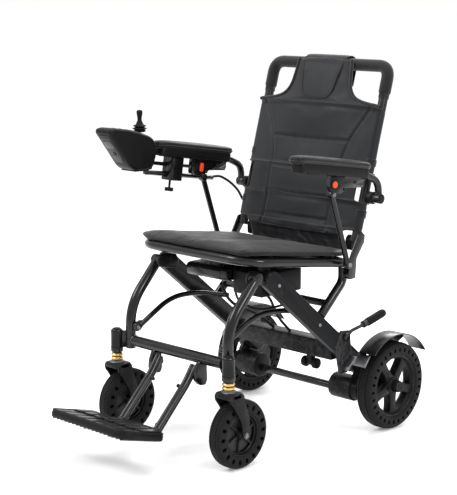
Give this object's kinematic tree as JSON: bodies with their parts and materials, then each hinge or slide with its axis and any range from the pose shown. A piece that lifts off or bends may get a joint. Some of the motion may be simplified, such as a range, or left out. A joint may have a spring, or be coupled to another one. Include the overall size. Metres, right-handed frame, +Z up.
{
  "type": "folding power wheelchair",
  "caption": "Folding power wheelchair with an upholstered seat and back, padded armrests, joystick pod, spoked wheels and a folding footplate.",
  "frame": {"origin": "centre of the bounding box's footprint, on the floor plane under the wheels", "axes": "+Z up, -Y the way the chair faces, +X the sitter's left side"},
  "size_m": [0.59, 0.9515, 0.9916],
  "materials": {
    "rubber": "matte black rubber",
    "frame_paint": "satin black powder coat",
    "orange_plastic": "orange-red moulded plastic",
    "cast_metal": "black coated casting",
    "leather": "charcoal synthetic leather, fine grain",
    "gloss_plastic": "glossy black plastic",
    "steel": "plain steel",
    "tyre": "matte black solid rubber",
    "black_plastic": "fine-textured black plastic",
    "beam_paint": "dark grey metallic satin",
    "foam": "soft black foam",
    "rim": "satin black cast alloy"
  },
  "bodies": {
    "chassis": {"main_beam_L": "beam_paint", "main_beam_R": "beam_paint", "rear_cross_member": "beam_paint", "post_cross_tube": "frame_paint", "seat_post_L": "frame_paint", "seat_post_R": "frame_paint", "seat_frame_tube": "frame_paint", "seat_board": "black_plastic", "seat_cushion": "leather", "battery_pack": "gloss_plastic", "motor_controller": "black_plastic", "drive_motor_L": "cast_metal", "drive_motor_R": "cast_metal", "axle_tube": "frame_paint", "fender_L": "gloss_plastic", "fender_R": "gloss_plastic"},
    "front_frame": {"front_leg_L": "frame_paint", "front_leg_R": "frame_paint", "front_crossbar": "frame_paint"},
    "transport_rollers": {"transport_rollers": "rubber"},
    "footrest_arms": {"footrest_arm_L": "frame_paint", "footrest_arm_R": "frame_paint"},
    "footplate": {"footplate": "black_plastic"},
    "backrest": {"back_tube_L": "frame_paint", "back_tube_R": "frame_paint", "push_bar": "foam", "back_upholstery": "leather", "headrest_flap": "leather", "joystick_cable": "rubber"},
    "pod": {"pod_rods": "frame_paint", "pod_housing": "black_plastic"},
    "joystick_gimbal": {"joystick_gimbal": "steel"},
    "joystick": {"joystick": "rubber"},
    "power_key": {"power_key": "steel"},
    "horn_key": {"horn_key": "steel"},
    "thumb_screw": {"thumb_screw": "black_plastic"},
    "rear_wheel_L": {"rear_tyre_L": "tyre", "rear_rim_L": "rim"},
    "caster_fork_L": {"caster_fork_L": "cast_metal"},
    "caster_wheel_L": {"caster_wheel_L": "tyre"},
    "brace_link_L": {"brace_link_L": "frame_paint"},
    "brake_lever_L": {"brake_lever_L": "frame_paint"},
    "brake_shoe_L": {"brake_shoe_L": "steel"},
    "armrest_knuckle_L": {"armrest_knuckle_L": "cast_metal"},
    "armrest_L": {"arm_rail_L": "frame_paint", "arm_pad_L": "rubber"},
    "arm_strut_L": {"arm_strut_L": "frame_paint"},
    "arm_release_button_L": {"arm_release_button_L": "orange_plastic"},
    "rear_wheel_R": {"rear_tyre_R": "tyre", "rear_rim_R": "rim"},
    "caster_fork_R": {"caster_fork_R": "cast_metal"},
    "caster_wheel_R": {"caster_wheel_R": "tyre"},
    "brace_link_R": {"brace_link_R": "frame_paint"},
    "brake_lever_R": {"brake_lever_R": "frame_paint"},
    "brake_shoe_R": {"brake_shoe_R": "steel"},
    "armrest_knuckle_R": {"armrest_knuckle_R": "cast_metal"},
    "armrest_R": {"arm_rail_R": "frame_paint", "arm_pad_R": "rubber"},
    "arm_strut_R": {"arm_strut_R": "frame_paint"},
    "arm_release_button_R": {"arm_release_button_R": "orange_plastic"}
  },
  "joints": [
    {"name": "front_frame_fold", "type": "hinge", "parent": "chassis", "child": "front_frame", "pos_m": [0, -0.095, 0.458], "axis": [1, 0, 0], "range_deg": [0, 40]},
    {"name": "transport_roller_spin", "type": "hinge", "parent": "chassis", "child": "transport_rollers", "pos_m": [0.088, 0.215, 0.171], "axis": [1, 0, 0], "continuous": true},
    {"name": "footrest_lift", "type": "hinge", "parent": "front_frame", "child": "footrest_arms", "pos_m": [0, -0.205, 0.226], "axis": [1, 0, 0], "range_deg": [-70, 0]},
    {"name": "footplate_flip", "type": "hinge", "parent": "footrest_arms", "child": "footplate", "pos_m": [0, -0.33, 0.094], "axis": [1, 0, 0], "range_deg": [-55, 0]},
    {"name": "back_fold", "type": "hinge", "parent": "chassis", "child": "backrest", "pos_m": [0, 0.256, 0.522], "axis": [1, 0, 0], "range_deg": [0, 85]},
    {"name": "rear_wheel_spin_L", "type": "hinge", "parent": "chassis", "child": "rear_wheel_L", "pos_m": [0.261, 0.34, 0.118], "axis": [1, 0, 0], "continuous": true},
    {"name": "caster_swivel_L", "type": "hinge", "parent": "front_frame", "child": "caster_fork_L", "pos_m": [0.207, -0.218, 0.216], "axis": [0, 0, 1], "continuous": true},
    {"name": "caster_wheel_spin_L", "type": "hinge", "parent": "caster_fork_L", "child": "caster_wheel_L", "pos_m": [0.207, -0.185, 0.087], "axis": [1, 0, 0], "continuous": true},
    {"name": "brace_link_pivot_L", "type": "hinge", "parent": "front_frame", "child": "brace_link_L", "pos_m": [0.16, -0.189, 0.294], "axis": [1, 0, 0], "range_deg": [-40, 0]},
    {"name": "brake_lever_turn_L", "type": "hinge", "parent": "chassis", "child": "brake_lever_L", "pos_m": [0.2135, 0.214, 0.262], "axis": [1, 0, 0], "range_deg": [0, 40]},
    {"name": "brake_shoe_swing_L", "type": "hinge", "parent": "chassis", "child": "brake_shoe_L", "pos_m": [0.2135, 0.213, 0.178], "axis": [1, 0, 0], "range_deg": [-5, 0]},
    {"name": "armrest_linkage_L", "type": "hinge", "parent": "backrest", "child": "armrest_knuckle_L", "pos_m": [0.2264, 0.2905, 0.625], "axis": [1, 0, 0], "range_deg": [-60, 0]},
    {"name": "armrest_lift_L", "type": "hinge", "parent": "armrest_knuckle_L", "child": "armrest_L", "pos_m": [0.25, 0.2905, 0.625], "axis": [1, 0, 0], "range_deg": [-100, 0]},
    {"name": "arm_strut_pivot_L", "type": "hinge", "parent": "chassis", "child": "arm_strut_L", "pos_m": [0.234, 0.189, 0.462], "axis": [1, 0, 0], "range_deg": [0, 60]},
    {"name": "arm_release_press_L", "type": "slide", "parent": "armrest_L", "child": "arm_release_button_L", "axis": [-1, 0, 0], "range_m": [0, 0.0012], "stiffness_N_per_m": 600},
    {"name": "rear_wheel_spin_R", "type": "hinge", "parent": "chassis", "child": "rear_wheel_R", "pos_m": [-0.261, 0.34, 0.118], "axis": [1, 0, 0], "continuous": true},
    {"name": "caster_swivel_R", "type": "hinge", "parent": "front_frame", "child": "caster_fork_R", "pos_m": [-0.207, -0.218, 0.216], "axis": [0, 0, 1], "continuous": true},
    {"name": "caster_wheel_spin_R", "type": "hinge", "parent": "caster_fork_R", "child": "caster_wheel_R", "pos_m": [-0.207, -0.185, 0.087], "axis": [1, 0, 0], "continuous": true},
    {"name": "brace_link_pivot_R", "type": "hinge", "parent": "front_frame", "child": "brace_link_R", "pos_m": [-0.16, -0.189, 0.294], "axis": [1, 0, 0], "range_deg": [-40, 0]},
    {"name": "brake_lever_turn_R", "type": "hinge", "parent": "chassis", "child": "brake_lever_R", "pos_m": [-0.2135, 0.214, 0.262], "axis": [1, 0, 0], "range_deg": [0, 40]},
    {"name": "brake_shoe_swing_R", "type": "hinge", "parent": "chassis", "child": "brake_shoe_R", "pos_m": [-0.2135, 0.213, 0.178], "axis": [1, 0, 0], "range_deg": [-5, 0]},
    {"name": "armrest_linkage_R", "type": "hinge", "parent": "backrest", "child": "armrest_knuckle_R", "pos_m": [-0.2264, 0.2905, 0.625], "axis": [1, 0, 0], "range_deg": [-60, 0]},
    {"name": "armrest_lift_R", "type": "hinge", "parent": "armrest_knuckle_R", "child": "armrest_R", "pos_m": [-0.25, 0.2905, 0.625], "axis": [1, 0, 0], "range_deg": [-100, 0]},
    {"name": "arm_strut_pivot_R", "type": "hinge", "parent": "chassis", "child": "arm_strut_R", "pos_m": [-0.234, 0.189, 0.462], "axis": [1, 0, 0], "range_deg": [0, 60]},
    {"name": "arm_release_press_R", "type": "slide", "parent": "armrest_R", "child": "arm_release_button_R", "axis": [1, 0, 0], "range_m": [0, 0.0012], "stiffness_N_per_m": 600},
    {"name": "pod_reach", "type": "slide", "parent": "armrest_R", "child": "pod", "axis": [0, -0.989, 0.1478], "range_m": [0, 0.055]},
    {"name": "thumb_screw_turn", "type": "hinge", "parent": "armrest_R", "child": "thumb_screw", "pos_m": [-0.2685, 0.0334, 0.6634], "axis": [0, 0.1478, 0.989], "continuous": true},
    {"name": "joystick_pitch", "type": "hinge", "parent": "pod", "child": "joystick_gimbal", "pos_m": [-0.262, -0.082, 0.782], "axis": [1, 0, 0], "range_deg": [-15, 15], "stiffness_Nm_per_rad": 0.12},
    {"name": "joystick_roll", "type": "hinge", "parent": "joystick_gimbal", "child": "joystick", "pos_m": [-0.262, -0.082, 0.782], "axis": [0, 1, 0], "range_deg": [-15, 15], "stiffness_Nm_per_rad": 0.12},
    {"name": "power_key_press", "type": "slide", "parent": "pod", "child": "power_key", "axis": [0, -0.1987, -0.9801], "range_m": [0, 0.0012], "stiffness_N_per_m": 400},
    {"name": "horn_key_press", "type": "slide", "parent": "pod", "child": "horn_key", "axis": [0, -0.1987, -0.9801], "range_m": [0, 0.0012], "stiffness_N_per_m": 400}
  ],
  "couplings": [
    {"joint": "brace_link_pivot_L", "follows": "front_frame_fold", "ratio": -1},
    {"joint": "brake_shoe_swing_L", "follows": "brake_lever_turn_L", "ratio": -0.125},
    {"joint": "armrest_linkage_L", "follows": "back_fold", "ratio": -0.69},
    {"joint": "arm_strut_pivot_L", "follows": "back_fold", "ratio": 0.67},
    {"joint": "brace_link_pivot_R", "follows": "front_frame_fold", "ratio": -1},
    {"joint": "brake_shoe_swing_R", "follows": "brake_lever_turn_R", "ratio": -0.125},
    {"joint": "armrest_linkage_R", "follows": "back_fold", "ratio": -0.69},
    {"joint": "arm_strut_pivot_R", "follows": "back_fold", "ratio": 0.67}
  ]
}
